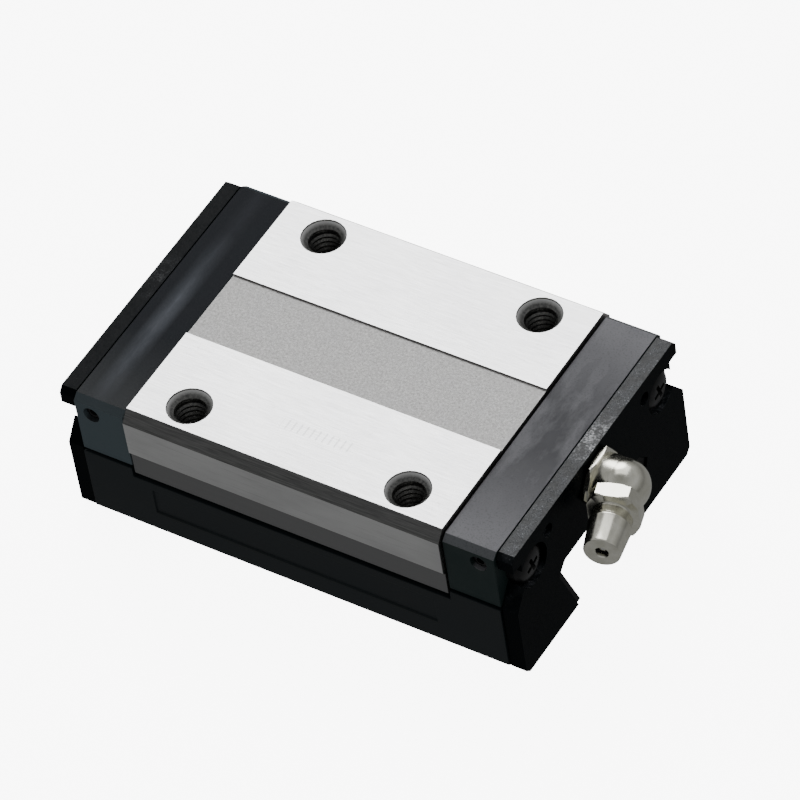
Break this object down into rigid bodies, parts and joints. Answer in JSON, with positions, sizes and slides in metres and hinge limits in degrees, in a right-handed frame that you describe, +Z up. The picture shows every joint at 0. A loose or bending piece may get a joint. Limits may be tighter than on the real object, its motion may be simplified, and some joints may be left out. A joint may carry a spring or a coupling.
{
  "type": "linear guide carriage",
  "caption": "Recirculating ball carriage for a profiled rail: tapped steel block, resin end caps and skirts, end seals and an elbow grease nipple.",
  "frame": {"origin": "centre of the object's footprint (grease nipple included) at the underside of the side skirts; the carriage's own middle is 4.5 mm behind it", "axes": "+X along the rail towards the end with the grease nipple, +Y to the left side datum face, +Z up through the mounting pads"},
  "size_m": [0.0752, 0.042, 0.022],
  "materials": {
    "ground_steel": "finely ground hardened bearing steel, matte in the as-rolled recess",
    "bearing_steel": "polished ball steel with a thin oil film",
    "spring_steel": "drawn spring wire",
    "black_resin": "injection-moulded engineering resin, fine matte grain",
    "dark_resin": "injection-moulded engineering resin, slightly satin",
    "seal_resin": "moulded seal carrier with a thin film of grease",
    "seal_rubber": "nitrile rubber",
    "screw_steel": "black-oxide steel, lightly oiled",
    "nickel": "nickel-plated turned metal, satin"
  },
  "bodies": {
    "root": {"carriage_block": "ground_steel", "front_end_cap": "dark_resin", "front_left_end_screw": "screw_steel", "front_left_port_plug": "screw_steel", "front_left_seal_pin": "screw_steel", "front_right_end_screw": "screw_steel", "front_right_port_plug": "screw_steel", "front_right_seal_pin": "screw_steel", "front_seal_lip": "seal_rubber", "front_seal_plate": "seal_resin", "left_bottom_seal": "seal_rubber", "left_corner_ball_retainer": "black_resin", "left_lower_ball_retainer": "black_resin", "left_side_skirt": "black_resin", "lower_left_front_return_guide": "black_resin", "lower_left_rear_return_guide": "black_resin", "lower_right_front_return_guide": "black_resin", "lower_right_rear_return_guide": "black_resin", "nipple_elbow": "nickel", "nipple_gasket": "seal_rubber", "nipple_nozzle": "nickel", "nipple_spring": "spring_steel", "rear_end_cap": "dark_resin", "rear_left_end_screw": "screw_steel", "rear_left_port_plug": "screw_steel", "rear_left_seal_pin": "screw_steel", "rear_port_plug": "screw_steel", "rear_right_end_screw": "screw_steel", "rear_right_port_plug": "screw_steel", "rear_right_seal_pin": "screw_steel", "rear_seal_lip": "seal_rubber", "rear_seal_plate": "seal_resin", "right_bottom_seal": "seal_rubber", "right_corner_ball_retainer": "black_resin", "right_lower_ball_retainer": "black_resin", "right_side_skirt": "black_resin", "top_ball_retainer": "black_resin", "upper_left_front_return_guide": "black_resin", "upper_left_rear_return_guide": "black_resin", "upper_right_front_return_guide": "black_resin", "upper_right_rear_return_guide": "black_resin"},
    "upper_left_load_row": {"upper_left_load_balls": "bearing_steel"},
    "upper_left_return_row": {"upper_left_return_balls": "bearing_steel"},
    "upper_left_front_turn": {"upper_left_front_turn_balls": "bearing_steel"},
    "upper_left_rear_turn": {"upper_left_rear_turn_balls": "bearing_steel"},
    "lower_left_load_row": {"lower_left_load_balls": "bearing_steel"},
    "lower_left_return_row": {"lower_left_return_balls": "bearing_steel"},
    "lower_left_front_turn": {"lower_left_front_turn_balls": "bearing_steel"},
    "lower_left_rear_turn": {"lower_left_rear_turn_balls": "bearing_steel"},
    "upper_right_load_row": {"upper_right_load_balls": "bearing_steel"},
    "upper_right_return_row": {"upper_right_return_balls": "bearing_steel"},
    "upper_right_front_turn": {"upper_right_front_turn_balls": "bearing_steel"},
    "upper_right_rear_turn": {"upper_right_rear_turn_balls": "bearing_steel"},
    "lower_right_load_row": {"lower_right_load_balls": "bearing_steel"},
    "lower_right_return_row": {"lower_right_return_balls": "bearing_steel"},
    "lower_right_front_turn": {"lower_right_front_turn_balls": "bearing_steel"},
    "lower_right_rear_turn": {"lower_right_rear_turn_balls": "bearing_steel"},
    "nipple_valve": {"nipple_check_ball": "bearing_steel"}
  },
  "joints": [
    {"name": "upper_left_load_slide", "type": "slide", "parent": "root", "child": "upper_left_load_row", "axis": [1, 0, 0], "range_m": [-0.0017, 0.0017]},
    {"name": "upper_left_return_slide", "type": "slide", "parent": "root", "child": "upper_left_return_row", "axis": [1, 0, 0], "range_m": [-0.0017, 0.0017]},
    {"name": "upper_left_front_turn_hinge", "type": "hinge", "parent": "root", "child": "upper_left_front_turn", "pos_m": [0.0193, 0.0076, 0.01365], "axis": [0, -1, 0], "range_deg": [-30.1, 30.1]},
    {"name": "upper_left_rear_turn_hinge", "type": "hinge", "parent": "root", "child": "upper_left_rear_turn", "pos_m": [-0.0283, 0.0076, 0.01365], "axis": [0, -1, 0], "range_deg": [-30.1, 30.1]},
    {"name": "lower_left_load_slide", "type": "slide", "parent": "root", "child": "lower_left_load_row", "axis": [1, 0, 0], "range_m": [-0.0017, 0.0017]},
    {"name": "lower_left_return_slide", "type": "slide", "parent": "root", "child": "lower_left_return_row", "axis": [1, 0, 0], "range_m": [-0.0017, 0.0017]},
    {"name": "lower_left_front_turn_hinge", "type": "hinge", "parent": "root", "child": "lower_left_front_turn", "pos_m": [0.0193, 0.01285, 0.0049], "axis": [0, 0, 1], "range_deg": [-30.1, 30.1]},
    {"name": "lower_left_rear_turn_hinge", "type": "hinge", "parent": "root", "child": "lower_left_rear_turn", "pos_m": [-0.0283, 0.01285, 0.0049], "axis": [0, 0, 1], "range_deg": [-30.1, 30.1]},
    {"name": "upper_right_load_slide", "type": "slide", "parent": "root", "child": "upper_right_load_row", "axis": [1, 0, 0], "range_m": [-0.0017, 0.0017]},
    {"name": "upper_right_return_slide", "type": "slide", "parent": "root", "child": "upper_right_return_row", "axis": [1, 0, 0], "range_m": [-0.0017, 0.0017]},
    {"name": "upper_right_front_turn_hinge", "type": "hinge", "parent": "root", "child": "upper_right_front_turn", "pos_m": [0.0193, -0.0076, 0.01365], "axis": [0, -1, 0], "range_deg": [-30.1, 30.1]},
    {"name": "upper_right_rear_turn_hinge", "type": "hinge", "parent": "root", "child": "upper_right_rear_turn", "pos_m": [-0.0283, -0.0076, 0.01365], "axis": [0, -1, 0], "range_deg": [-30.1, 30.1]},
    {"name": "lower_right_load_slide", "type": "slide", "parent": "root", "child": "lower_right_load_row", "axis": [1, 0, 0], "range_m": [-0.0017, 0.0017]},
    {"name": "lower_right_return_slide", "type": "slide", "parent": "root", "child": "lower_right_return_row", "axis": [1, 0, 0], "range_m": [-0.0017, 0.0017]},
    {"name": "lower_right_front_turn_hinge", "type": "hinge", "parent": "root", "child": "lower_right_front_turn", "pos_m": [0.0193, -0.01285, 0.0049], "axis": [0, 0, -1], "range_deg": [-30.1, 30.1]},
    {"name": "lower_right_rear_turn_hinge", "type": "hinge", "parent": "root", "child": "lower_right_rear_turn", "pos_m": [-0.0283, -0.01285, 0.0049], "axis": [0, 0, -1], "range_deg": [-30.1, 30.1]},
    {"name": "nipple_valve_slide", "type": "slide", "parent": "root", "child": "nipple_valve", "axis": [-0.2756, 0.9613, 0], "range_m": [0, 0.0006], "stiffness_N_per_m": 300, "deforming": ["nipple_spring"]}
  ],
  "couplings": [
    {"joint": "upper_left_return_slide", "follows": "upper_left_load_slide", "ratio": -1},
    {"joint": "upper_left_front_turn_hinge", "follows": "upper_left_load_slide", "rad_per_m": 308},
    {"joint": "upper_left_rear_turn_hinge", "follows": "upper_left_load_slide", "rad_per_m": 308},
    {"joint": "lower_left_return_slide", "follows": "lower_left_load_slide", "ratio": -1},
    {"joint": "lower_left_front_turn_hinge", "follows": "lower_left_load_slide", "rad_per_m": 308},
    {"joint": "lower_left_rear_turn_hinge", "follows": "lower_left_load_slide", "rad_per_m": 308},
    {"joint": "upper_right_return_slide", "follows": "upper_right_load_slide", "ratio": -1},
    {"joint": "upper_right_front_turn_hinge", "follows": "upper_right_load_slide", "rad_per_m": 308},
    {"joint": "upper_right_rear_turn_hinge", "follows": "upper_right_load_slide", "rad_per_m": 308},
    {"joint": "lower_right_return_slide", "follows": "lower_right_load_slide", "ratio": -1},
    {"joint": "lower_right_front_turn_hinge", "follows": "lower_right_load_slide", "rad_per_m": 308},
    {"joint": "lower_right_rear_turn_hinge", "follows": "lower_right_load_slide", "rad_per_m": 308}
  ]
}
